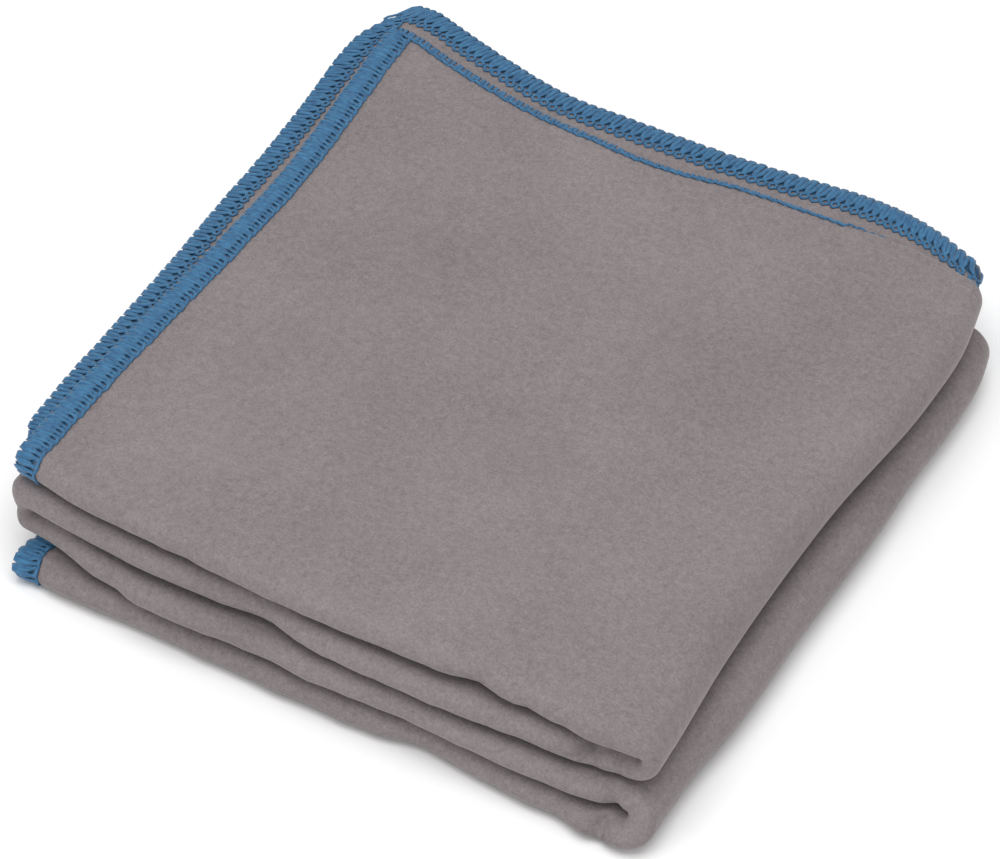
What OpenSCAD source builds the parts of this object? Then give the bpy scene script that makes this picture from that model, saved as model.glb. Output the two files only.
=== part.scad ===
// Quick dry towel, folded once across its width and then in four passes along its length.
// One sheet of suede microfibre, bound on all four edges by a three-thread overlock seam.
// +X runs from the two blue ends to the double bends, +Y from the folded rim to the free
// edges, +Z up. The origin is under the middle of the folded towel, on what it lies on.

/* [Towel cloth] */
// Length of the open towel, from end to end
towel_length = 800; // [600:10:960]
// Width of the open towel, from side to side
towel_width = 420; // [340:10:500]
// Thickness of the cloth, nap included
cloth_t = 1.2; // [0.9:0.1:1.6]

/* [Folding] */
// Air between the two plies of one pass
ply_gap = 6.4; // [4:0.2:8]
// Air between one pass and the next
pass_gap = 1.6; // [1:0.2:3]
// How far the lower ply's free edge reaches past the upper ply's
edge_step = 8; // [0:1:16]

/* [Overlock seam] */
// Width of the seam, from the towel's edge to the far side of its needle line
seam_w = 7; // [5:0.5:9]
// Thickness of a looper thread's layer, pressed into the nap
looper_t = 0.25; // [0.15:0.05:0.35]
// Width of the needle thread's line of stitches
needle_w = 0.6; // [0.4:0.1:0.8]
// Height of the ridge where the two loopers lock over the cut edge
edge_ridge = 0.5; // [0.3:0.1:0.8]

/* [Colours] */
// Colour of the cloth
cloth_colour = "#8f8786";
// Colour of the three seam threads
thread_colour = "#3d7ca6";

/* [Hidden] */
$fn = 48;

// Passes of the doubled cloth along the length, and the index of the last one
passes = 4;
bottom_pass = passes - 1;

// Thickness of one pass, and the step from one pass down to the next
pass_t = 2 * cloth_t + ply_gap;
pass_pitch = pass_t + pass_gap;

// The bends use up the length on their middle line, and the passes share the rest
bend_mid_r = pass_pitch / 2;
pass_len = (towel_length - (passes - 1) * PI * bend_mid_r) / passes;

// The rim uses up the width on the cloth's middle line, and the two plies share the rest
rim_r = pass_t / 2;
rim_mid_r = rim_r - cloth_t / 2;
plies_total = towel_width - PI * rim_mid_r;
upper_end = rim_r + (plies_total - edge_step) / 2;
lower_end = rim_r + (plies_total + edge_step) / 2;

// The loopers stop where the needle line begins
looper_w = seam_w - needle_w;

// ---- Sections, drawn as (y, height in the pass) ----

// A layer of the doubled cloth, between two depths from its outer face
module doubled_layer(from_depth, to_depth, upper_to, lower_to) {
    layer = to_depth - from_depth;
    intersection() {
        translate([rim_r, rim_r])
            difference() {
                circle(r = rim_r - from_depth);
                circle(r = rim_r - to_depth);
            }
        square([rim_r, pass_t]);
    }
    translate([rim_r, from_depth])
        square([lower_to - rim_r, layer]);
    translate([rim_r, pass_t - to_depth])
        square([upper_to - rim_r, layer]);
}

// The three threads of the seam, as (distance in from the edge, depth from the outer face)
module needle_section() {
    translate([looper_w, 0])
        square([needle_w, looper_t]);
}

module upper_looper_section() {
    square([looper_w, looper_t]);
    square([edge_ridge, cloth_t / 2]);
}

module lower_looper_section() {
    translate([0, cloth_t - looper_t])
        square([looper_w, looper_t]);
    translate([0, cloth_t / 2])
        square([edge_ridge, cloth_t / 2]);
}

// Puts a seam section on the free edge of either ply
module on_upper_ply() {
    translate([upper_end, pass_t])
        rotate(180)
            children();
}

module on_lower_ply() {
    translate([lower_end, 0])
        mirror([1, 0])
            children();
}

module side_threads_section() {
    on_upper_ply() {
        needle_section();
        upper_looper_section();
        lower_looper_section();
    }
    on_lower_ply() {
        needle_section();
        upper_looper_section();
        lower_looper_section();
    }
}

// Cloth whose outer face starts at a given depth, let in for the threads along both sides
module cloth_section(from_depth, to_depth) {
    difference() {
        doubled_layer(from_depth, to_depth, upper_end - edge_ridge, lower_end - edge_ridge);
        side_threads_section();
    }
}

// End threads stop where the side seams cross the corners
module end_thread_section(from_depth, to_depth) {
    doubled_layer(from_depth, to_depth, upper_end - seam_w, lower_end - seam_w);
}

// ---- The folded route: pass 0 is on top, and each bend turns the section over ----

function pass_z(i) = (bottom_pass - i) * pass_pitch;

module turned_over() {
    translate([0, pass_t])
        mirror([0, 1])
            children();
}

module along_pass(i, x_from, x_to) {
    translate([x_from, 0, pass_z(i)])
        rotate([90, 0, 90])
            linear_extrude(height = x_to - x_from)
                if (i % 2 == 0) {
                    children();
                } else {
                    turned_over() children();
                }
}

// Half a turn about an axis along Y, from pass i down to the next one
module half_turn(i) {
    translate([0, 0, pass_z(i) - pass_gap / 2])
        rotate([-90, 0, 0])
            rotate([0, 0, -90])
                rotate_extrude(angle = 180)
                    translate([pass_gap / 2, 0])
                        mirror([1, -1])
                            children();
}

module round_bend(i) {
    if (i % 2 == 0) {
        translate([pass_len, 0, 0])
            half_turn(i) children();
    } else {
        mirror([1, 0, 0])
            half_turn(i) turned_over() children();
    }
}

module whole_route() {
    for (i = [0 : bottom_pass])
        along_pass(i, 0, pass_len) children();
    for (i = [0 : bottom_pass - 1])
        round_bend(i) children();
}

module centred() {
    translate([-pass_len / 2, -lower_end / 2, 0])
        children();
}

// ---- The cloth ----

module cloth_end(i) {
    along_pass(i, edge_ridge, looper_w) cloth_section(looper_t, cloth_t - looper_t);
    along_pass(i, looper_w, seam_w) cloth_section(looper_t, cloth_t);
    along_pass(i, seam_w, pass_len) cloth_section(0, cloth_t);
}

module towel_cloth() {
    color(cloth_colour)
        centred() {
            cloth_end(0);
            cloth_end(bottom_pass);
            for (i = [1 : bottom_pass - 1])
                along_pass(i, 0, pass_len) cloth_section(0, cloth_t);
            for (i = [0 : bottom_pass - 1])
                round_bend(i) cloth_section(0, cloth_t);
        }
}

// ---- Seam threads at the two ends, round the folded rim ----

module end_needle_thread(i) {
    color(thread_colour)
        centred()
            along_pass(i, looper_w, seam_w) end_thread_section(0, looper_t);
}

module end_upper_looper_thread(i) {
    color(thread_colour)
        centred() {
            along_pass(i, 0, edge_ridge) end_thread_section(0, cloth_t / 2);
            along_pass(i, edge_ridge, looper_w) end_thread_section(0, looper_t);
        }
}

module end_lower_looper_thread(i) {
    color(thread_colour)
        centred() {
            along_pass(i, 0, edge_ridge) end_thread_section(cloth_t / 2, cloth_t);
            along_pass(i, edge_ridge, looper_w) end_thread_section(cloth_t - looper_t, cloth_t);
        }
}

// ---- Seam threads along the two sides, through every pass and bend ----

module side_thread() {
    color(thread_colour)
        centred()
            whole_route() children();
}

module upper_side_needle_thread() {
    side_thread() on_upper_ply() needle_section();
}

module upper_side_upper_looper_thread() {
    side_thread() on_upper_ply() upper_looper_section();
}

module upper_side_lower_looper_thread() {
    side_thread() on_upper_ply() lower_looper_section();
}

module lower_side_needle_thread() {
    side_thread() on_lower_ply() needle_section();
}

module lower_side_upper_looper_thread() {
    side_thread() on_lower_ply() upper_looper_section();
}

module lower_side_lower_looper_thread() {
    side_thread() on_lower_ply() lower_looper_section();
}

towel_cloth();
end_needle_thread(0);  // top_end_needle_thread
end_upper_looper_thread(0);  // top_end_upper_looper_thread
end_lower_looper_thread(0);  // top_end_lower_looper_thread
end_needle_thread(bottom_pass);  // bottom_end_needle_thread
end_upper_looper_thread(bottom_pass);  // bottom_end_upper_looper_thread
end_lower_looper_thread(bottom_pass);  // bottom_end_lower_looper_thread
upper_side_needle_thread();
upper_side_upper_looper_thread();
upper_side_lower_looper_thread();
lower_side_needle_thread();
lower_side_upper_looper_thread();
lower_side_lower_looper_thread();
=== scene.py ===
# %% [markdown]
# # A quick dry towel, folded into a pile
# The real thing is one sheet of suede microfibre, 42 by 80 cm, whose four edges are bound by a
# blue overlock seam. It is folded once across its width and then in four passes along its
# length, so eight layers lie on each other in a pile about 21 by 21 by 4 cm.
#
# The plan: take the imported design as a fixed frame, write down how the towel is folded as one
# function from the flat cloth to the pile, lay a fine grid of cloth and the seam threads through
# that function, and then give both their materials, the floor, the lights and the camera.
#
# A cloth simulation is the other way to fold it, and wasn't tried here. Eight layers in contact
# would probably be slow to settle and land where they like, while a function puts each crease
# where it is wanted.

import math
import random

import bmesh
import bpy
import numpy as np
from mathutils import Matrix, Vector


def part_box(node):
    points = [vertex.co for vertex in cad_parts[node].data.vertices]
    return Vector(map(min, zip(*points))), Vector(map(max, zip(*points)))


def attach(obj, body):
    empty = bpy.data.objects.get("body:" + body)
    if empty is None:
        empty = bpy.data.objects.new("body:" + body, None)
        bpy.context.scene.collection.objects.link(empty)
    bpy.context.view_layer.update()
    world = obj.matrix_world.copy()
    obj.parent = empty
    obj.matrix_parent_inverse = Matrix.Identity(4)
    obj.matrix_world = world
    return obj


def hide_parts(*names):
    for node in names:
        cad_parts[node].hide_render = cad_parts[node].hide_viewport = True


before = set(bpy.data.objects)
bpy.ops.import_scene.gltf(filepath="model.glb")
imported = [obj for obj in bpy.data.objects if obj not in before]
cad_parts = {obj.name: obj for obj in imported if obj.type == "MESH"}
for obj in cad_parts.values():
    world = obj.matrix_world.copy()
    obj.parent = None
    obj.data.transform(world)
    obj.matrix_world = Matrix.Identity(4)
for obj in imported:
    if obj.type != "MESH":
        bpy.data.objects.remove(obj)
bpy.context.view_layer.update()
MM = 0.001

# %% [markdown]
# ## Sizes that the design already fixes
# Everything is placed from the design's own nodes. The end seam runs round one pass of doubled
# cloth, so its box gives the pass's thickness, and the distance from the top end's seam to the
# bottom end's gives the step from one pass down to the next. The work below is in millimetres,
# because cloth is easier to think about that way, and turns into metres at the end.

# %% Read the fold's sizes off the frame
end_low, end_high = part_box("top_end_upper_looper_thread")
under_low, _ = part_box("bottom_end_upper_looper_thread")
_, side_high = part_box("lower_side_upper_looper_thread")
_, cloth_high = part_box("towel_cloth")

TOWEL_L = 800.0
TOWEL_W = 420.0
CLOTH_T = 1.2
PASSES = 4
PASS_T = (end_high.z - end_low.z) / MM
PITCH = (end_low.z - under_low.z) / MM / (PASSES - 1)
PASS_GAP = PITCH - PASS_T
RIGHT_X = cloth_high.x / MM - PASS_GAP / 2 - PASS_T
LEFT_X = end_low.x / MM
RUN = RIGHT_X - LEFT_X
# Loosely folded, the rims stand back a little and the free edges reach a little further.
RIMS_BACK = 1.5
EDGES_PAST = 3.0
FRONT_Y = end_low.y / MM + RIMS_BACK
BACK_Y = side_high.y / MM + EDGES_PAST
RIM_R = PASS_T / 2
RIM_MID_R = RIM_R - CLOTH_T / 2
print("pass", round(PASS_T, 2), "pitch", round(PITCH, 2), "run", round(RUN, 2))

# %% [markdown]
# ## Small helpers for uneven cloth
# No real fold is straight. Four helpers shape the unevenness. A smooth step is for a change that
# comes in over some distance, and a bump for one that comes and goes. A drawn line passes
# smoothly through a few given points, as a tailor's curve does. Slow waves are a sum of
# sine waves in random directions, whose seed is fixed, so that the towel folds the same way each
# time the script runs.

# %% Smooth steps and slow waves
def ease(value, start, end):
    """A smooth step from 0 at start to 1 at end."""
    f = np.clip((value - start) / (end - start), 0.0, 1.0)
    return f * f * (3.0 - 2.0 * f)


def bump(value, centre, half_width):
    """A smooth bump that is 1 at its centre and dies away over about twice its half width."""
    return np.exp(-(((value - centre) / half_width) ** 2))


def drawn(f, *points):
    """A smooth line through a few given (place, offset) points."""
    place, offset = np.array(points, float).T
    slope = np.gradient(offset, place)
    k = np.clip(np.searchsorted(place, f) - 1, 0, len(place) - 2)
    span = place[k + 1] - place[k]
    u = np.clip((f - place[k]) / span, 0.0, 1.0)
    start = offset[k] * (2 * u**3 - 3 * u**2 + 1) + slope[k] * span * (u**3 - 2 * u**2 + u)
    return start + offset[k + 1] * (3 * u**2 - 2 * u**3) + slope[k + 1] * span * (u**3 - u**2)


WAVE_COUNT = 9
WAVE_PEAK = 3.4


def waves(u, v, length, seed):
    """Slow random waves between about -1 and 1, whose crests are about length apart."""
    rng = random.Random(seed)
    total = np.zeros(np.broadcast(u, v).shape)
    for _ in range(WAVE_COUNT):
        angle = rng.uniform(0.0, math.tau)
        size = length * rng.uniform(0.75, 1.6)
        phase = rng.uniform(0.0, math.tau)
        along = u * math.cos(angle) + v * math.sin(angle)
        total = total + np.sin(along * math.tau / size + phase)
    return total / WAVE_PEAK


# %% [markdown]
# ## How the towel is folded
# A point on the flat towel has two distances: s along its length, from the top end, and t across
# it, from the side whose edge lies on the upper ply. The folded place of a point follows from
# these in two steps.
#
# Across the towel, the upper ply runs from its edge to the folded rim in front, round the rim,
# and back along the lower ply. In the top pass the upper ply's edge is tucked under itself, so
# only the inner line of its seam shows.
#
# Along the towel, four passes follow each other with a half turn between them. The ply outside a
# turn needs more cloth than the ply inside it, which is why the two plies' ends don't meet.

# %% How the width is shared between the plies
UPPER_T = 201.0
RIM_T = math.pi * RIM_MID_R
LOWER_T = TOWEL_W - UPPER_T - RIM_T
print("upper ply", UPPER_T, "rim", round(RIM_T, 1), "lower ply", round(LOWER_T, 1))


def nominal_height(t):
    """Height of the cloth's middle in its pass, from the lower ply to the upper one."""
    angle = np.clip((t - UPPER_T) / RIM_MID_R, 0.0, math.pi)
    return RIM_R + RIM_MID_R * np.cos(angle)


# %% [markdown]
# Each line of the pile is drawn from above, with places along the run from 0 at the left to 1 at
# the right and offsets in millimetres. The rims' lines wander most towards the front corner,
# where the doubled cloth resists being bent a second time.

# %% The lines of the rims and the free edges
def front_line(i, x):
    """Where the folded rim of pass i lies. The lower passes stand further forward."""
    f = (x - LEFT_X) / RUN
    rims = [
        drawn(f, (-0.06, 2.0), (0, 1.8), (0.1, -1.0), (0.26, -1.9), (0.5, -3.2), (0.67, -2.4),
              (0.72, -2.0), (0.76, -0.4), (0.8, -1.6), (0.87, -1.6), (0.92, -2.6), (0.96, -2.4),
              (1.02, -0.8)),
        drawn(f, (-0.06, 0.4), (0.04, -0.8), (0.22, -3.2), (0.34, -2.8), (0.43, -1.6), (0.49, -4.2),
              (0.65, -5.3), (0.75, -5.0), (0.83, -3.6), (0.92, -3.2), (1.0, -0.8)),
        drawn(f, (-0.06, 2.0), (0.06, 0.0), (0.16, -5.6), (0.26, -7.3), (0.37, -6.1), (0.53, -6.8),
              (0.64, -5.8), (0.74, -6.2), (0.82, -6.5), (0.93, -5.7), (1.0, -4.0)),
        drawn(f, (-0.06, -5.8), (0.02, -6.2), (0.26, -6.1), (0.5, -6.7), (0.62, -6.3), (0.69, -4.0),
              (0.75, -5.2), (0.84, -6.8), (0.91, -7.0), (0.96, -8.8), (1.02, -8.2)),
    ]
    fine = 0.22 * waves(x, i * 37.0, 9.0, 11) * ease(f, 0.0, 0.3)
    return FRONT_Y + np.choose(i, rims) + fine


def back_line(i, x):
    """Where the lower ply's free edge lies."""
    f = (x - LEFT_X) / RUN
    top = drawn(f, (-0.1, 3.6), (-0.05, 7.0), (0, 6.2), (0.08, 2.2), (0.15, -0.6), (0.27, -4.5),
                (0.39, -4.1), (0.51, -2.5), (0.65, 1.2), (0.77, 4.4), (0.87, 4.8), (0.94, 2.8),
                (1.0, -1.4), (1.05, -6.0), (1.1, -11.0))
    other = np.choose(i, [0.0, -1.6, -0.6, 0.8]) + 1.3 * waves(x, i * 53.0, 90.0, 5)
    other = other - 10.0 * ease(f, 0.72, 1.0) * (i > 1)
    return BACK_Y + np.where(i == 0, top, other)


def upper_back_line(i, x):
    """Where the upper ply's flat part stops: at the tuck in the top pass."""
    f = (x - LEFT_X) / RUN
    tucked = drawn(f, (-0.05, 14.4), (0, 14.2), (0.15, 13.6), (0.27, 12.9), (0.37, 13.9),
                   (0.45, 15.6), (0.6, 14.6), (0.8, 16.4), (0.92, 13.6), (1.0, 10.5), (1.1, 8.0))
    loose = 11.0 + 1.2 * waves(x, i * 31.0, 80.0, 8) - 8.5 * ease(f, 0.72, 1.0) * (i > 1)
    return back_line(i, x) - np.where(i == 0, tucked, loose)


# %% [markdown]
# The seam is a little stiff, so a cut edge that is pushed back while folding tucks itself under.
# In the top pass the tuck runs the whole length, in the others only near the double bends. It is
# a small half turn of cloth, after which the strip runs on below its ply.

# %% The tuck of the upper ply's edge
TUCK_ARC = 2.4
TUCK_DEPTH = 5.9
DEEPER_ALONG = 2.0
DEEPER_AT_END = 2.8
# A turn of exactly nothing would divide by zero.
NO_TURN = 1e-4


def tuck_line(x):
    """How far in from the upper ply's edge its tuck starts. It gets deeper to the right."""
    slowly = ease(x, LEFT_X, RIGHT_X - 10.0)
    at_the_end = ease(x, RIGHT_X - 45.0, RIGHT_X - 12.0)
    return TUCK_DEPTH + DEEPER_ALONG * slowly + DEEPER_AT_END * at_the_end


def tucked_strip(i, t, x, upper_edge):
    """Where the strip past the tuck line lies: y, and how far it is from its ply's own height."""
    turn = np.where(i == 0, math.pi, math.pi * ease(x, RIGHT_X - 70.0, RIGHT_X - 8.0))
    turn = np.maximum(turn, NO_TURN)
    past = np.clip(tuck_line(x) - t, 0.0, None)
    arc = np.minimum(past, TUCK_ARC)
    theta = turn * arc / TUCK_ARC
    radius = TUCK_ARC / turn
    run_on = past - arc
    y = upper_edge + radius * np.sin(theta) + run_on * np.cos(turn)
    off = -radius * (1.0 - np.cos(theta)) - run_on * np.sin(turn)
    return y, off


# %% [markdown]
# Where a rim is bent a second time, its cloth has too little room and is pushed in here and
# there. Each dent is a bump along the run times a bump round the rim. In the passes that are
# turned over the dents lie higher on the rim, so they show from above.

# %% Dents along the rims
DENTS = [
    # pass, place along the run, half width in mm, how far the rim is pushed in there
    (0, 0.775, 2.6, 0.8),
    (0, 0.845, 2.6, 0.7),
    (0, 0.905, 2.4, 0.5),
    (1, 0.36, 5.0, 0.9),
    (1, 0.56, 4.0, 0.7),
    (1, 0.885, 3.0, 1.0),
    (1, 0.945, 2.4, 6.0),
    (1, 0.985, 1.6, 2.6),
    (2, 0.17, 5.0, 1.6),
    (2, 0.45, 4.0, 0.8),
    (2, 0.985, 2.4, 2.2),
    (3, 0.035, 3.6, 2.8),
    (3, 0.20, 4.0, 0.8),
    (3, 0.60, 4.0, 0.6),
    (3, 0.90, 3.0, 0.5),
    (3, 0.975, 1.9, 4.4),
]


def dent(i, t, x):
    """How far the rim of a pass is pushed back where it is pinched."""
    turned_over = i % 2 == 1
    place_on_rim = np.where(turned_over, 0.7, 0.5)
    half_height = np.where(turned_over, 3.9, 9.0)
    near_rim = bump(t, UPPER_T + RIM_T * place_on_rim, half_height)
    total = 0.0 * x
    for which, place, half_width, depth in DENTS:
        total = total + (i == which) * depth * bump(x, LEFT_X + place * RUN, half_width)
    return total * near_rim


print("dents in the rims:", len(DENTS))


# %% The section across one pass
def section(i, t, x):
    """Across pass i: y, and how far the cloth's middle is moved off its ply's own height."""
    front = front_line(i, x)
    angle = np.clip((t - UPPER_T) / RIM_MID_R, 0.0, math.pi)
    rim = front + RIM_R - RIM_R * np.sin(angle) + CLOTH_T / 2 * np.sin(angle)
    flat = tuck_line(x)
    inner = front + RIM_R
    upper_edge = upper_back_line(i, x)
    upper = inner + (upper_edge - inner) * (UPPER_T - t) / (UPPER_T - flat)
    lower = inner + (back_line(i, x) - inner) * (t - UPPER_T - RIM_T) / LOWER_T
    tuck_y, tuck_off = tucked_strip(i, t, x, upper_edge)
    y = np.where(t < flat, tuck_y, np.where(t < UPPER_T, upper, rim))
    y = np.where(t > UPPER_T + RIM_T, lower, y)
    return y + dent(i, t, x), np.where(t < flat, tuck_off, 0.0)


# %% [markdown]
# ## Heights in the pile
# The design keeps every layer at an even distance. Real cloth is held open by its rims and bends
# and settles towards its free edges, so the two plies of a pass come together at the back and at
# the ends. The pile also leans a little: it is higher over the stack of ends on the left.

# %% How far the plies close up
END_CLOSES = 0.55
BACK_CLOSES = 0.62
MOST_CLOSED = 0.8


def closing(i, x, y):
    """The share of a pass's air that is gone, towards the cut ends and the free edges."""
    to_front = ease(y, BACK_Y - 10.0, FRONT_Y + 30.0)
    to_right = ease(x, LEFT_X + 25.0, RIGHT_X - 20.0)
    has_end = (i == 0) | (i == PASSES - 1)
    held_open = bump(y, FRONT_Y, 22.0)
    at_end = np.where(has_end, END_CLOSES * (1.0 - to_right) * (1.0 - held_open), 0.0)
    at_back = BACK_CLOSES * (1.0 - to_front) ** 1.5
    return np.clip(1.0 - (1.0 - at_end) * (1.0 - at_back), 0.0, MOST_CLOSED)


# %% [markdown]
# On top of that the pile leans, its corners rise or sink, and the top ply has a soft groove just
# behind the front end of its seam. The lower ply of the top pass hangs a little past the end.

# %% The height of each ply in the pile
# The plies of the lower two passes close up less than those of the upper two.
LOWER_PAIR_SHARE = 0.3
LEAN_UP = 2.2
LEAN_DOWN = 1.8
CORNER_SINK = 3.2
CORNER_RISE = 1.6
SOFTNESS = 0.55
END_DROOP = 2.4
GROOVE_DEPTH = 1.4


def ply_height(i, t, x, y):
    """Height of the cloth's middle in the whole pile."""
    nominal = nominal_height(t)
    outer_gap = np.where(i % 2 == 0, PASS_T - CLOTH_T / 2 - nominal, nominal - CLOTH_T / 2)
    upright = np.where(i % 2 == 0, nominal, PASS_T - nominal)
    closed_gap = closing(i, x, y) * outer_gap * np.where(i < 2, 1.0, LOWER_PAIR_SHARE)
    height = (PASSES - 1 - i) * PITCH + upright + closed_gap
    f = (x - LEFT_X) / RUN
    g = (y - FRONT_Y) / (BACK_Y - FRONT_Y)
    level = height / (PASSES * PITCH)
    lean = LEAN_UP * (1.0 - f) - LEAN_DOWN * f
    back_right = -CORNER_SINK * ease(f, 0.45, 1.05) * ease(g, 0.4, 1.0)
    back_left = CORNER_RISE * bump(f, 0.0, 0.2) * bump(g, 1.0, 0.25)
    soft = SOFTNESS * waves(x, y, 95.0, 21) * bump(f, 0.5, 0.5)
    inner_ply = ease(t, UPPER_T + RIM_T + 4.0, UPPER_T + RIM_T + 20.0)
    droop = END_DROOP * ease(-x, -LEFT_X - 1.0, -LEFT_X + 14.0) * inner_ply * (i == 0)
    in_groove = bump(x, LEFT_X + 13.0, 6.5) * bump(y, FRONT_Y + 24.0, 17.0)
    groove = GROOVE_DEPTH * in_groove * (i == 0) * (t < UPPER_T)
    return height + level * (lean + back_right + back_left + soft) - droop - groove


# %% [markdown]
# ## Ends and double bends
# In the top pass the lower ply's end reaches past the upper ply's, so two bands of seam show side
# by side. The double bends on the right are thick and springy and wander in and out along y.

# %% Where the two ends of the towel lie
TOP_PAST = 2.6
BOTTOM_SHORT = 3.5
UPPER_PLY_PAST = 4.0


def end_line(i, t, y):
    """x of the cut end in the top or bottom pass. The two plies' ends don't meet."""
    g = np.clip((y - FRONT_Y) / (BACK_Y - FRONT_Y), 0.0, 1.05)
    hollow = drawn(g, (0, 0.9), (0.15, 0.6), (0.35, 1.2), (0.5, 2.0), (0.63, 1.8), (0.83, -2.0),
                   (0.95, -4.0), (1.05, -2.0))
    reach = drawn(g, (0, 7.8), (0.1, 7.6), (0.4, 9.6), (0.57, 11.6), (0.8, 10.2), (0.9, 10.0),
                  (0.96, 9.0), (1.0, 5.8), (1.05, 1.0))
    lower = ease(t, UPPER_T + RIM_T + 1.0, UPPER_T + RIM_T + 15.0)
    top = LEFT_X - TOP_PAST + hollow - lower * reach
    uneven_end = 1.2 * waves(y, 0.0 * y, 80.0, 3)
    bottom = LEFT_X + BOTTOM_SHORT + uneven_end - UPPER_PLY_PAST * (1.0 - lower)
    return np.where(i == 0, top, bottom)


# %% How the double bends wander
def bend_wander(i, y):
    """How far the right-hand bend of the upper or lower pair of passes stands out or in."""
    g = (y - FRONT_Y) / (BACK_Y - FRONT_Y)
    upper = drawn(g, (-0.05, 1.6), (0.06, -0.1), (0.21, -2.9), (0.5, -3.3), (0.74, 1.3), (0.85, 0.8),
                  (0.93, -2.6), (1.0, -6.5), (1.05, -10.0))
    lower = drawn(g, (-0.05, 1.6), (0.1, 0.5), (0.2, 1.8), (0.38, 1.2), (0.6, 1.7), (0.7, 1.0),
                  (0.82, 1.4), (0.9, 0.2), (0.96, -3.0), (1.05, -7.0))
    return np.where(i < 2, upper, lower)


# %% [markdown]
# ## The front corners
# Where a rim goes round a double bend, four layers are squeezed together. On the left the two
# plies open in a slit, whose lips sink and draw back. On the right the inside of each bend is
# pushed out to a sharp fold. A function moves points that are already folded, by an amount that
# dies away with distance from the corner.

# %% Pinch the front corners
SLIT_Z = PASSES / 2 * PITCH + 0.3
SLIT_DROP = 4.6
SLIT_BACK = 4.2
CORNER_REACH = PITCH - 0.8
UPPER_PINCH = 5.0
LOWER_PINCH = 1.5
FLOOR_LIFT = 0.9


def pinched_corners(i, x, y, z):
    """Points of the pile after the slit on the left and the pinches on the right."""
    near_left = ease(x, LEFT_X + 14.0, LEFT_X - 4.0) * bump(y, FRONT_Y, 26.0)
    in_slit = near_left * np.clip(1.0 - np.abs(z - SLIT_Z) / CORNER_REACH, 0.0, 1.0)
    z = z - SLIT_DROP * in_slit
    y = y + SLIT_BACK * in_slit
    bend_z = np.where(i < 2, 3.0, 1.0) * PITCH - 0.4
    away = np.hypot(x - RIGHT_X, z - bend_z)
    pinched = bump(y, FRONT_Y - 3.0, 17.0) * np.clip(1.0 - away / CORNER_REACH, 0.0, 1.0)
    x = x + np.where(i < 2, UPPER_PINCH, LOWER_PINCH) * pinched
    z = z + FLOOR_LIFT * np.clip(1.0 - z / (2.0 * PITCH), 0.0, 1.0)
    return np.stack([x, y, z], axis=-1)


# %% [markdown]
# ## The whole fold
# First a point's distance along the towel says which pass or bend it is in. The second half of
# the towel mirrors the first, so distances are counted from the nearer end. Then the two passes
# that a bend joins are worked out, and the bend is a half turn from one to the other.

# %% Which pass or bend a point is in
def along_route(s, t):
    """Pass number, second half or not, in a right bend, in the left bend, x, and angle."""
    nominal = nominal_height(t)
    outer = PASS_GAP / 2 + nominal
    inner = PASS_GAP / 2 + PASS_T - nominal
    mirrored = s > TOWEL_L / 2
    u = np.where(mirrored, TOWEL_L - s, s)
    turn_end = TOWEL_L / 2 - math.pi / 2 * inner
    run_start = turn_end - RUN
    pass_end = run_start - math.pi * outer
    in_end_pass = u <= pass_end
    in_bend = (u > pass_end) & (u < run_start)
    in_turn = u > turn_end
    i = np.where(mirrored, np.where(in_end_pass, 3, 2), np.where(in_end_pass, 0, 1))
    x_guess = LEFT_X + RUN * np.clip(u / pass_end, 0.0, 1.0)
    y_guess, _ = section(i, t, x_guess)
    end_x = end_line(i, t, y_guess)
    x_end_pass = end_x + (RIGHT_X - end_x) * u / pass_end
    x_mid_pass = np.where(in_turn, LEFT_X, RIGHT_X - (u - run_start))
    x = np.where(in_end_pass, x_end_pass, np.where(in_bend, RIGHT_X, x_mid_pass))
    alpha = np.where(in_bend, (u - pass_end) / outer, 0.0)
    alpha = np.where(in_turn, math.pi / 2 - (TOWEL_L / 2 - u) / inner, alpha)
    alpha = np.where(mirrored & (in_bend | in_turn), math.pi - alpha, alpha)
    return i, mirrored, in_bend, in_turn, x, alpha


# %% How far a bend stands out
BLUNT = 0.8
LOWER_FULLER = 1.12


def bend_outline(mirrored, in_bend, in_turn, alpha, y):
    """How far out the bend is at an angle, as a share of its half height, and how full it is."""
    sine = np.maximum(np.sin(alpha), 1e-6)
    outline = np.where(in_bend, sine ** BLUNT, -np.sin(alpha))
    pinch = 0.84 + 0.14 * np.cos(alpha)
    squarer = (0.65 + 0.02 * np.cos(alpha)) * sine ** -0.4
    pinch = pinch + bump(y, FRONT_Y, 45.0) * (squarer - pinch)
    fullness = np.where(in_bend & mirrored, LOWER_FULLER, 1.0)
    return outline, np.where(in_turn, pinch, fullness)


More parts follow.
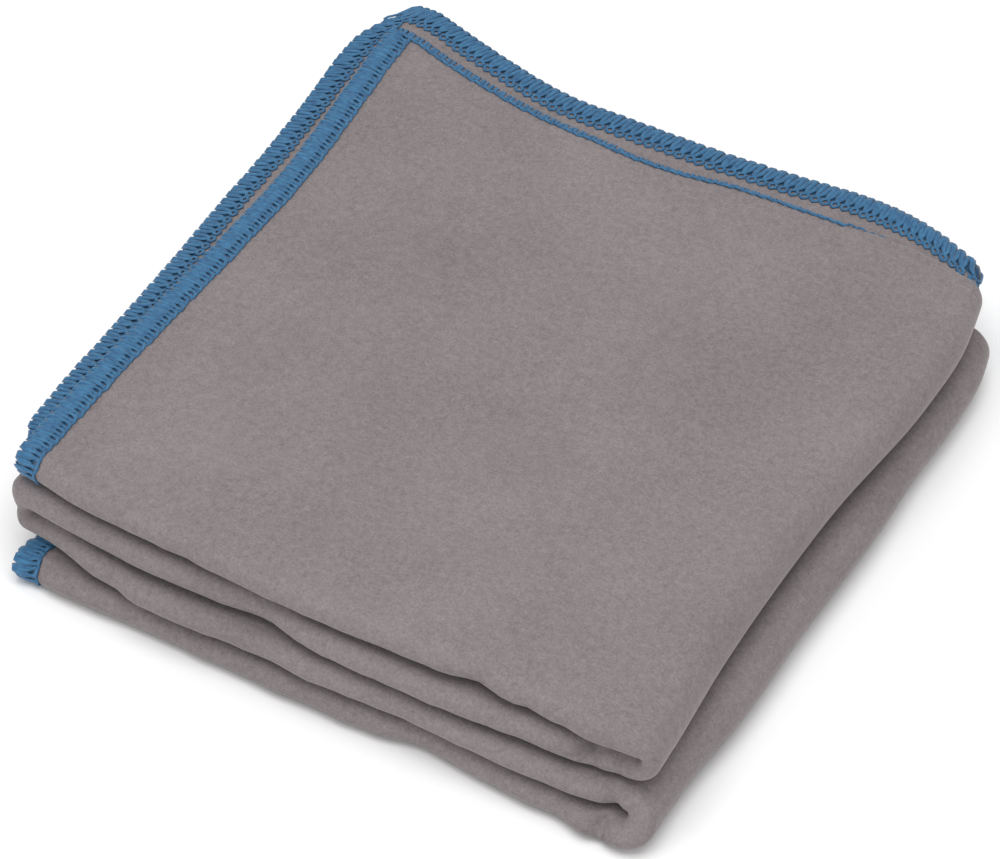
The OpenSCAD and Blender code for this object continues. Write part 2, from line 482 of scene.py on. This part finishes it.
# %% From the flat towel to the pile
def fold(s, t):
    """The place of the cloth's middle in the pile, for points s along and t across the towel."""
    s, t = np.broadcast_arrays(np.asarray(s, float), np.asarray(t, float))
    i, mirrored, in_bend, in_turn, x, alpha = along_route(s, t)
    bent = in_bend | in_turn
    upper_i = np.where(in_bend, np.where(mirrored, 2, 0), np.where(in_turn, 1, i))
    lower_i = np.where(in_bend, np.where(mirrored, 3, 1), np.where(in_turn, 2, i))
    y0, w0 = section(upper_i, t, x)
    y1, w1 = section(lower_i, t, x)
    z0 = ply_height(upper_i, t, x, y0)
    z1 = ply_height(lower_i, t, x, y1)
    half = (z0 - z1) / 2
    mix = (1.0 - np.cos(alpha)) / 2
    outline, fullness = bend_outline(mirrored, in_bend, in_turn, alpha, y0)
    x_out = np.where(bent, x + half * outline * fullness, x)
    y_out = np.where(bent, y0 + (y1 - y0) * mix, y0)
    z_out = np.where(bent, (z0 + z1) / 2 + half * np.cos(alpha), z0)
    tuck = np.where(bent, w0 + (w1 - w0) * mix, w0)
    side = np.where(upper_i % 2 == 0, 1.0, -1.0)
    x_out = x_out + np.where(bent, tuck * outline * side, 0.0)
    z_out = z_out + np.where(bent, tuck * np.cos(alpha) * side, tuck * side)
    x_out = x_out + bend_wander(i, y_out) * ease(x_out, RIGHT_X - 55.0, RIGHT_X)
    return pinched_corners(i, x_out, y_out, z_out)


middle = fold(TOWEL_L / 8, TOWEL_W / 4)
print("middle of the top ply in mm", np.round(middle, 1))

# %% [markdown]
# ## Lines ruled on the flat cloth
# The cloth's grid needs to be fine only where it bends: round the rim, at the tucks and through
# the double bends. A flat stretch does with lines nearly 4 mm apart. That keeps the cloth under
# 200,000 triangles once it has its thickness.

# %% Rule the lines of the cloth's grid
def stations(marks):
    """A list of distances, from (start, end, step) runs that follow each other."""
    values = [marks[0][0]]
    for start, end, step in marks:
        count = max(1, round((end - start) / step))
        values.extend(start + (end - start) * (k + 1) / count for k in range(count))
    return np.array(values)


across = stations([
    (0.5, 9.5, 0.75),
    (9.5, 15.5, 1.5),
    (15.5, UPPER_T - 16.0, 3.6),
    (UPPER_T - 16.0, UPPER_T, 1.6),
    (UPPER_T, UPPER_T + RIM_T, 0.85),
    (UPPER_T + RIM_T, UPPER_T + RIM_T + 10.0, 2.0),
    (UPPER_T + RIM_T + 10.0, TOWEL_W - 9.0, 3.9),
    (TOWEL_W - 9.0, TOWEL_W - 0.5, 2.1),
])
print("rows of cloth", len(across))

half_run = stations([
    (0.5, 12.0, 1.6),
    (12.0, 170.0, 3.8),
    (170.0, 178.0, 1.4),
    (178.0, 206.0, 1.1),
    (206.0, 218.0, 1.1),
    (218.0, 380.0, 4.2),
    (380.0, 400.0, 1.25),
])
along = np.concatenate([half_run, (TOWEL_L - half_run[:-1])[::-1]])
print("columns of cloth", len(along))

# %% [markdown]
# ## The cloth
# One grid is laid flat, its corners are moved through the fold, and a Solidify modifier gives it
# the cloth's thickness. The grid's flat place is kept as a UV map in metres, so that anything
# drawn on the cloth follows it round every bend.

# %% Make the cloth from one grid
def cloth_grid(name, columns, rows):
    """The folded cloth, from a flat grid whose lines are ruled at the given distances."""
    bm = bmesh.new()
    bmesh.ops.create_grid(bm, x_segments=len(columns) - 1, y_segments=len(rows) - 1, size=1.0)
    bm.verts.ensure_lookup_table()
    flat = np.array([v.co[:2] for v in bm.verts])
    col = np.rint((flat[:, 0] + 1.0) / 2.0 * (len(columns) - 1)).astype(int)
    row = np.rint((flat[:, 1] + 1.0) / 2.0 * (len(rows) - 1)).astype(int)
    s = columns[col]
    t = rows[row]
    place = fold(s, t) * MM
    for vert, co in zip(bm.verts, place):
        vert.co = co
    uv = bm.loops.layers.uv.new("UVMap")
    for face in bm.faces:
        for loop in face.loops:
            k = loop.vert.index
            loop[uv].uv = (s[k] * MM, t[k] * MM)
        face.smooth = True
    mesh = bpy.data.meshes.new(name)
    bm.to_mesh(mesh)
    bm.free()
    obj = bpy.data.objects.new(name, mesh)
    bpy.context.scene.collection.objects.link(obj)
    return obj


towel = cloth_grid("towel_sheet", along, across)
thick = towel.modifiers.new("cloth_thickness", "SOLIDIFY")
thick.thickness = CLOTH_T * MM
thick.offset = 0.0
thick.use_even_offset = False
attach(towel, "root")
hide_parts("towel_cloth")
print("cloth faces", len(towel.data.polygons))

# %% [markdown]
# ## The overlock seam
# Three threads bind each edge. The upper looper's loops lie on the face, the lower looper's on
# the back, both are held by the needle thread some 6.5 mm in, and the two loopers lock into each
# other over the cut edge. That gives a row of small holes next to the needle line, a satin band
# of nearly parallel strands, and a ridge like a twisted cord along the edge.
#
# Each thread is drawn once, as the route of one stitch: how far along the stitch, how far in from
# the edge, how high over the cloth's middle, and the half width and half height of the strand
# there. The textured yarn spreads where it is free, so strands are wide in the satin band and
# narrow at the needle line. The route is repeated along the edge, carried through the fold, and
# a tube is laid along it. The points are few and given as a sewing diagram shows them.

# %% The route of one stitch of each thread
STITCH = 3.0
FACE_LOOP = [
    # along the stitch (0 to 1), in from the edge, height, half width, half height
    (0.17, 6.60, 0.80, 0.58, 0.28),
    (0.21, 5.80, 0.88, 0.76, 0.30),
    (0.20, 4.80, 0.88, 0.50, 0.28),
    (0.26, 3.80, 0.92, 0.90, 0.28),
    (0.32, 2.60, 0.92, 1.10, 0.28),
    (0.38, 1.20, 0.86, 1.05, 0.30),
    (0.48, -0.22, 0.56, 0.90, 0.36),
    (0.74, -0.42, 0.02, 0.84, 0.36),
    (0.88, 1.10, 0.84, 1.05, 0.30),
    (0.82, 2.60, 0.90, 1.10, 0.28),
    (0.77, 3.80, 0.90, 0.90, 0.28),
    (0.80, 4.80, 0.86, 0.50, 0.28),
    (0.79, 5.80, 0.86, 0.76, 0.30),
    (0.83, 6.60, 0.78, 0.58, 0.28),
]
BACK_LOOP = [
    (0.34, 5.50, -0.90, 0.54, 0.30),
    (0.32, 6.30, -0.90, 0.58, 0.30),
    (0.00, 6.95, -0.86, 0.54, 0.28),
    (-0.32, 6.30, -0.92, 0.58, 0.30),
    (-0.34, 5.50, -0.98, 0.54, 0.30),
    (0.12, 4.60, -1.00, 0.54, 0.28),
    (0.24, 3.20, -0.90, 0.82, 0.32),
    (0.26, 1.20, -0.86, 0.80, 0.34),
    (0.40, -0.40, -0.20, 0.84, 0.34),
    (0.64, -0.26, -0.58, 0.84, 0.34),
    (0.74, 1.20, -0.86, 0.80, 0.34),
    (0.76, 3.20, -0.92, 0.82, 0.32),
    (0.88, 4.60, -1.04, 0.60, 0.28),
]
NEEDLE_STITCH = [
    (0.04, 6.40, 0.10, 0.26, 0.24),
    (0.14, 6.42, 1.00, 0.46, 0.30),
    (0.45, 6.58, 1.14, 0.56, 0.32),
    (0.82, 6.80, 1.02, 0.48, 0.30),
    (0.95, 6.80, 0.10, 0.26, 0.24),
    (0.97, 6.60, -0.90, 0.26, 0.22),
    (1.00, 7.15, -1.00, 0.28, 0.22),
    (1.03, 6.50, -0.90, 0.26, 0.22),
]

# %% [markdown]
# Each edge has its own way from a place on the seam to a place on the flat towel: a along the
# seam and b in from the edge. The end seams stop where the side seams cross them at the corners.
# No two hand-guided stitches are alike, so each one is moved a little, by random amounts with a
# fixed seed. The three threads of an edge share a seed, so that they stay locked together.

# %% Places along the four edges
SEAM_W = 7.0
# The bands of the side seams are a little wider than those of the end seams.
SIDE_SPREAD = 1.18
UNEVEN_ALONG = 0.035
UNEVEN_BITE = 0.10
UNEVEN_EDGE = 0.07
UNEVEN_HEIGHT = 0.03
EDGES = {
    "top_end": (SEAM_W, TOWEL_W - SEAM_W, lambda a, b: (b, a)),
    "bottom_end": (SEAM_W, TOWEL_W - SEAM_W, lambda a, b: (TOWEL_L - b, a)),
    "upper_side": (0.0, TOWEL_L, lambda a, b: (a, b)),
    "lower_side": (0.0, TOWEL_L, lambda a, b: (a, TOWEL_W - b)),
}


def face_direction(s, t):
    """The cloth's outward direction on its face, which is the side that lies on top of the pile."""
    reach = 0.35
    along_s = fold(s + reach, t) - fold(s - reach, t)
    along_t = fold(s, t + reach) - fold(s, t - reach)
    out = np.cross(along_t, along_s)
    return out / np.maximum(np.linalg.norm(out, axis=-1, keepdims=True), 1e-9)


def stitch_route(edge, shape, seed):
    """Every point of a thread along one edge: place, face direction, half width, half height."""
    start, end, to_flat = EDGES[edge]
    count = round((end - start) / STITCH)
    pitch = (end - start) / count
    shape = np.array(shape)
    stitch = np.repeat(np.arange(count), len(shape))
    points = np.tile(shape, (count, 1))
    rng = np.random.default_rng(seed)
    uneven = rng.normal(0.0, 1.0, (count, 4))[stitch]
    spread = SIDE_SPREAD if "side" in edge else 1.0
    a = start + (stitch + points[:, 0] + UNEVEN_ALONG * uneven[:, 0]) * pitch
    inner_part = points[:, 1] > 2.0
    b = points[:, 1] * spread + UNEVEN_BITE * uneven[:, 1] * inner_part + UNEVEN_EDGE * uneven[:, 2]
    s, t = to_flat(a, b)
    out = face_direction(s, t)
    place = fold(s, t) + out * (points[:, 2] + UNEVEN_HEIGHT * uneven[:, 3])[:, None]
    return place, out, points[:, 3], points[:, 4], count


# %% [markdown]
# A tube is a grid rolled up: its columns follow the route, and its rows go round an oval that is
# as wide and high as the strand. Its first and last ring shrink to a point, which closes the
# ends, and merging doubles closes the seam. Six sides are enough for a strand about 2 mm wide
# that is repeated over some 800 stitches.

# %% Lay a tube along a thread's route
AROUND = 6
MERGE_WITHIN = 0.000001
YARN_ROUND = 0.003


def thread_tube(name, place, out, half_width, half_height, node):
    """A closed tube of yarn along a route, standing in for one thread of the design."""
    along = np.gradient(place, axis=0)
    along /= np.maximum(np.linalg.norm(along, axis=1, keepdims=True), 1e-9)
    across_way = np.cross(along, out)
    across_way /= np.maximum(np.linalg.norm(across_way, axis=1, keepdims=True), 1e-9)
    upright = np.cross(across_way, along)
    rings = len(place)
    shrink = np.ones(rings)
    shrink[0] = shrink[-1] = 0.0
    bm = bmesh.new()
    bmesh.ops.create_grid(bm, x_segments=rings - 1, y_segments=AROUND, size=1.0)
    grid = np.array([v.co[:2] for v in bm.verts])
    ring = np.rint((grid[:, 0] + 1.0) / 2.0 * (rings - 1)).astype(int)
    turn = (grid[:, 1] + 1.0) / 2.0 * math.tau
    wide = across_way[ring] * (half_width * shrink)[ring, None] * np.cos(turn)[:, None]
    tall = upright[ring] * (half_height * shrink)[ring, None] * np.sin(turn)[:, None]
    final = (place[ring] + wide + tall) * MM
    length = np.concatenate([[0.0], np.cumsum(np.linalg.norm(np.diff(place, axis=0), axis=1))])
    for vert, co in zip(bm.verts, final):
        vert.co = co
    bm.verts.index_update()
    uv = bm.loops.layers.uv.new("UVMap")
    for face in bm.faces:
        for loop in face.loops:
            k = loop.vert.index
            loop[uv].uv = (length[ring[k]] * MM, turn[k] / math.tau * YARN_ROUND)
        face.smooth = True
    bmesh.ops.remove_doubles(bm, verts=bm.verts, dist=MERGE_WITHIN)
    bmesh.ops.recalc_face_normals(bm, faces=bm.faces)
    mesh = bpy.data.meshes.new(name)
    bm.to_mesh(mesh)
    bm.free()
    obj = bpy.data.objects.new(name, mesh)
    bpy.context.scene.collection.objects.link(obj)
    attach(obj, "root")
    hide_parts(node)
    return obj


# %% Sew the four edges
THREADS = {
    "needle_thread": NEEDLE_STITCH,
    "upper_looper_thread": FACE_LOOP,
    "lower_looper_thread": BACK_LOOP,
}
FIRST_SEED = 100
threads = []
for edge_number, edge in enumerate(EDGES):
    for thread, shape in THREADS.items():
        *route, count = stitch_route(edge, shape, FIRST_SEED + 10 * edge_number)
        node = f"{edge}_{thread}"
        threads.append(thread_tube(f"{node}_yarn", *route, node))
    print(edge, "has", count, "stitches")

# %% [markdown]
# ## Colours and nodes
# Colours are written as they look on a screen, and one function turns them to the linear values
# that the renderer works in. A second one adds a node with its settings and links.

# %% Colour and node helpers
def linear(hex_colour):
    """Linear red, green, blue and alpha of a colour like #8b8384."""
    parts = [int(hex_colour[k:k + 2], 16) / 255 for k in (1, 3, 5)]
    return (*[c / 12.92 if c <= 0.04045 else ((c + 0.055) / 1.055) ** 2.4 for c in parts], 1.0)


def add_node(tree, kind, settings=None, **inputs):
    """A node whose inputs are given by name, or as n0, n1 and so on for unnamed ones."""
    node = tree.nodes.new(kind)
    for key, value in (settings or {}).items():
        setattr(node, key, value)
    for key, value in inputs.items():
        numbered = key[0] == "n" and key[1:].isdigit()
        socket = node.inputs[int(key[1:]) if numbered else key.replace("_", " ")]
        if isinstance(value, bpy.types.NodeSocket):
            tree.links.new(value, socket)
        else:
            socket.default_value = value
    return node


def new_material(name):
    """A material with an empty node tree."""
    material = bpy.data.materials.new(name)
    material.use_nodes = True
    material.node_tree.nodes.clear()
    return material, material.node_tree


# %% [markdown]
# ## Suede microfibre
# Knitted polyester and nylon microfibre, dyed a warm grey and sueded: fine abrasive rollers raise
# a nap so short that it feels like peach skin. It is quite matt, with a soft glow where the nap
# is seen edge on. Two things break up its colour: single fibres that took the dye a little
# lighter or darker, and broad patches where the nap was brushed one way or the other.

# %% The nap's colour
suede, tree = new_material("suede_microfibre")
coords = add_node(tree, "ShaderNodeTexCoord")
space = coords.outputs["Object"]
# Fibre tips are about 0.02 mm and too fine to show, so the speckle is drawn at about 0.7 mm.
speckle = add_node(tree, "ShaderNodeTexNoise", Vector=space, Scale=1500.0, Detail=3.0, Roughness=0.7)
# Tufts of nap that lean together, about 2 mm across
fleck = add_node(tree, "ShaderNodeTexNoise", Vector=space, Scale=520.0, Detail=2.0, Roughness=0.6)
# Strokes of a hand over the cloth, about 45 mm apart
brushed = add_node(tree, "ShaderNodeTexNoise", Vector=space, Scale=22.0, Detail=3.0, Roughness=0.55)
add_up = {"operation": "MULTIPLY_ADD"}
nap_height = add_node(
    tree, "ShaderNodeMath", add_up, n0=fleck.outputs[0], n1=0.5, n2=speckle.outputs[0],
)
tone = add_node(
    tree, "ShaderNodeMath", add_up, n0=brushed.outputs[0], n1=0.35, n2=nap_height.outputs[0],
)
level = add_node(tree, "ShaderNodeMapRange", Value=tone.outputs[0], From_Min=0.62, From_Max=1.23)
ramp = add_node(tree, "ShaderNodeValToRGB", Fac=level.outputs[0])
ramp.color_ramp.elements[0].position = 0.0
ramp.color_ramp.elements[0].color = linear("#696263")
ramp.color_ramp.elements[1].position = 1.0
ramp.color_ramp.elements[1].color = linear("#8b8384")

# %% [markdown]
# Under the stitches the cloth lies in their shadow, so a dark blue painted shade is laid on its
# colour there. The UV map is the flat place in metres, so it says how far a point is from the
# nearest edge of the towel: the smallest of its distances to the two ends and the two sides.

# %% Painted shade under the seam
# Painted shade: none from 6.6 mm in from the edge, full from 5 mm in out to the edge
PAINTED_SHADE_STARTS = 6.6 * MM
PAINTED_SHADE_FULL = 5.0 * MM
take = {"operation": "SUBTRACT"}
least = {"operation": "MINIMUM"}
flat = add_node(tree, "ShaderNodeSeparateXYZ", Vector=coords.outputs["UV"])
far_s = add_node(tree, "ShaderNodeMath", take, n0=TOWEL_L * MM, n1=flat.outputs["X"])
far_t = add_node(tree, "ShaderNodeMath", take, n0=TOWEL_W * MM, n1=flat.outputs["Y"])
near_s = add_node(tree, "ShaderNodeMath", least, n0=flat.outputs["X"], n1=far_s.outputs[0])
near_t = add_node(tree, "ShaderNodeMath", least, n0=flat.outputs["Y"], n1=far_t.outputs[0])
near = add_node(tree, "ShaderNodeMath", least, n0=near_s.outputs[0], n1=near_t.outputs[0])
painted_shade_mask = add_node(
    tree, "ShaderNodeMapRange",
    Value=near.outputs[0], From_Min=PAINTED_SHADE_STARTS, From_Max=PAINTED_SHADE_FULL,
)
# The Mix node's sockets 6 and 7 are its two colours.
# The dark blue mixed in here is painted shade under the stitches.
cloth_with_painted_shade = add_node(
    tree, "ShaderNodeMix", {"data_type": "RGBA"},
    n0=painted_shade_mask.outputs[0], n6=ramp.outputs[0], n7=linear("#22445f"),
)

# %% [markdown]
# The nap is rough and hardly shines. Sheen stands for the glow of fibre tips that are seen from
# the side, and a shallow bump for the unevenness of the tufts.

# %% The cloth's surface
nap = add_node(
    tree, "ShaderNodeBump", Height=nap_height.outputs[0], Strength=0.35, Distance=0.25 * MM,
)
shader = add_node(
    tree, "ShaderNodeBsdfPrincipled",
    Base_Color=cloth_with_painted_shade.outputs[2], Roughness=0.92, Normal=nap.outputs[0],
    Specular_IOR_Level=0.2, Sheen_Weight=0.42, Sheen_Roughness=0.35,
)
shader.inputs["Sheen Tint"].default_value = linear("#d8d0cc")
add_node(tree, "ShaderNodeOutputMaterial", Surface=shader.outputs[0])
towel.data.materials.append(suede)
print("cloth material", suede.name, "with", len(tree.nodes), "nodes")

# %% [markdown]
# ## Textured polyester yarn
# Overlock looper yarn is crimped filament, so it is soft and spreads into flat strands. Mid blue,
# a little lustrous, with filaments that run along each strand. A filament is about 0.02 mm; the
# lines are drawn about 0.35 mm apart so that they show.

# %% Seam thread material
yarn, tree = new_material("blue_textured_yarn")
coords = add_node(tree, "ShaderNodeTexCoord")
stretched = add_node(tree, "ShaderNodeMapping", Vector=coords.outputs["UV"])
stretched.inputs["Scale"].default_value = (220.0, 2800.0, 1.0)
filaments = add_node(
    tree, "ShaderNodeTexNoise", Vector=stretched.outputs[0], Scale=1.0, Detail=2.0, Roughness=0.6,
)
patchy = add_node(tree, "ShaderNodeTexNoise", Vector=coords.outputs["Object"], Scale=650.0, Detail=2.0)
both = add_node(
    tree, "ShaderNodeMath", add_up, n0=patchy.outputs[0], n1=0.6, n2=filaments.outputs[0],
)
level = add_node(tree, "ShaderNodeMapRange", Value=both.outputs[0], From_Min=0.5, From_Max=1.1)
ramp = add_node(tree, "ShaderNodeValToRGB", Fac=level.outputs[0])
ramp.color_ramp.elements[0].position = 0.0
ramp.color_ramp.elements[0].color = linear("#1a4870")
ramp.color_ramp.elements[1].position = 1.0
ramp.color_ramp.elements[1].color = linear("#3a759c")
crimp = add_node(
    tree, "ShaderNodeBump", Height=filaments.outputs[0], Strength=0.8, Distance=0.25 * MM,
)
shader = add_node(
    tree, "ShaderNodeBsdfPrincipled",
    Base_Color=ramp.outputs[0], Roughness=0.6, Normal=crimp.outputs[0],
    Specular_IOR_Level=0.4, Sheen_Weight=0.2, Sheen_Roughness=0.4,
)
add_node(tree, "ShaderNodeOutputMaterial", Surface=shader.outputs[0])
for thread in threads:
    thread.data.materials.append(yarn)
print("threads with", yarn.name, len(threads))

# %% [markdown]
# ## Floor, light and camera
# A plain pale floor runs on as far as the light reaches. One large soft light hangs nearly
# overhead and does most of the work. A weak one from the right and one low in front lift the
# bends and the rims, and a pale sky fills the shadows.

# %% Floor
FLOOR_HALF = 6.0
bm = bmesh.new()
bmesh.ops.create_grid(bm, x_segments=1, y_segments=1, size=FLOOR_HALF)
mesh = bpy.data.meshes.new("floor")
bm.to_mesh(mesh)
bm.free()
floor = bpy.data.objects.new("floor", mesh)
bpy.context.scene.collection.objects.link(floor)
paint, tree = new_material("pale_floor")
shader = add_node(tree, "ShaderNodeBsdfPrincipled", Base_Color=linear("#f4f4f4"), Roughness=0.8)
add_node(tree, "ShaderNodeOutputMaterial", Surface=shader.outputs[0])
floor.data.materials.append(paint)
print("floor", 2 * FLOOR_HALF, "m wide")

# %% Light
def soft_light(name, place, power, size):
    """A round soft light at a place in metres, turned towards the pile."""
    data = bpy.data.lights.new(name, "AREA")
    data.shape = "DISK"
    data.size = size
    data.energy = power
    lamp = bpy.data.objects.new(name, data)
    lamp.location = place
    lamp.rotation_mode = "QUATERNION"
    lamp.rotation_quaternion = Vector(place).to_track_quat("Z", "Y")
    bpy.context.scene.collection.objects.link(lamp)
    return lamp


soft_light("key_light", (0.15, -0.3, 1.9), power=23.6, size=1.6)
soft_light("fill_light", (1.3, -0.4, 0.9), power=0.6, size=1.0)
soft_light("front_light", (-0.5, -1.4, 0.4), power=4.0, size=0.9)
sky = bpy.data.worlds.new("studio")
sky.use_nodes = True
sky.node_tree.nodes["Background"].inputs["Color"].default_value = (1.0, 1.0, 1.0, 1.0)
sky.node_tree.nodes["Background"].inputs["Strength"].default_value = 0.7
bpy.context.scene.world = sky
bpy.context.scene.view_settings.view_transform = "Standard"

# %% [markdown]
# The camera stands to the right of the pile's front, looks down at about 44 degrees, and has a
# long lens, so parallel edges stay nearly parallel. The point that it circles is given from the
# pile's front right corner, and the aim is set a little off that point so that the pile sits
# well in the frame.

# %% Camera
CAM_TURN = math.radians(29.62)
CAM_RISE = math.radians(44.22)
CAM_AWAY = 1365.9
# Focal length as a share of the sensor's width
FOCUS = 4.817
SENSOR = 36.0
FROM_RIGHT = 90.4
FROM_FRONT = 119.43
AIM_LEFT = 0.0500
AIM_UP = 0.0034
target = Vector((RIGHT_X - FROM_RIGHT, FRONT_Y + FROM_FRONT, 0.0))
back = Vector((
    math.sin(CAM_TURN) * math.cos(CAM_RISE),
    -math.cos(CAM_TURN) * math.cos(CAM_RISE),
    math.sin(CAM_RISE),
))
right = Vector((math.cos(CAM_TURN), math.sin(CAM_TURN), 0.0))
up = back.cross(right)
place = target + back * CAM_AWAY
aim = target - right * (AIM_LEFT / FOCUS * CAM_AWAY) + up * (AIM_UP / FOCUS * CAM_AWAY)
lens = bpy.data.cameras.new("camera")
lens.sensor_width = SENSOR
lens.lens = FOCUS * SENSOR
lens.clip_start = 0.05
lens.clip_end = 30.0
camera = bpy.data.objects.new("camera", lens)
camera.location = place * MM
camera.rotation_mode = "QUATERNION"
camera.rotation_quaternion = (place - aim).to_track_quat("Z", "Y")
bpy.context.scene.collection.objects.link(camera)
bpy.context.scene.camera = camera
print("camera", [round(v, 4) for v in camera.location])
